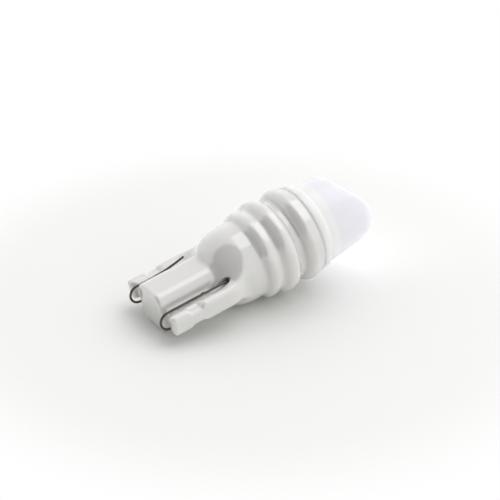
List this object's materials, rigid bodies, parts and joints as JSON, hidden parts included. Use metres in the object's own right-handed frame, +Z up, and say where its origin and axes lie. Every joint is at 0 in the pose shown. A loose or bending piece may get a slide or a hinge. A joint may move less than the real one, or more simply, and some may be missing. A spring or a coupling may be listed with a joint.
{
  "type": "wedge base led bulb",
  "caption": "Small wedge base LED bulb with a glossy white ringed ceramic body, a milky lens with a roof-shaped end and two folded contact wires.",
  "frame": {"origin": "on the surface the bulb lies on, under the middle of its box", "axes": "+X along the lying bulb from the wedge towards the lens, +Y across the wedge, +Z up"},
  "size_m": [0.0246, 0.01, 0.0105],
  "materials": {
    "ceramic": "glossy white glaze",
    "lens": "milky diffusing polycarbonate",
    "silicone": "translucent white silicone",
    "board": "white solder mask",
    "led_housing": "matte white",
    "phosphor": "yellow phosphor in clear silicone",
    "chip_black": "moulded black epoxy",
    "solder": "bright tin solder",
    "wire": "drawn nickel-plated wire, slightly dull",
    "seal": "brownish cured adhesive"
  },
  "bodies": {
    "root": {"ceramic_body": "ceramic", "lens": "lens", "lens_bond": "silicone", "board_bond": "silicone", "led_board": "board", "led_package_a": "led_housing", "led_package_b": "led_housing", "led_phosphor_a": "phosphor", "led_phosphor_b": "phosphor", "rectifier": "chip_black", "resistor_a": "chip_black", "resistor_b": "chip_black", "solder_joint_a": "solder", "solder_joint_b": "solder", "contact_wire_a": "wire", "contact_wire_b": "wire", "wire_seal_a": "seal", "wire_seal_b": "seal"}
  },
  "joints": []
}
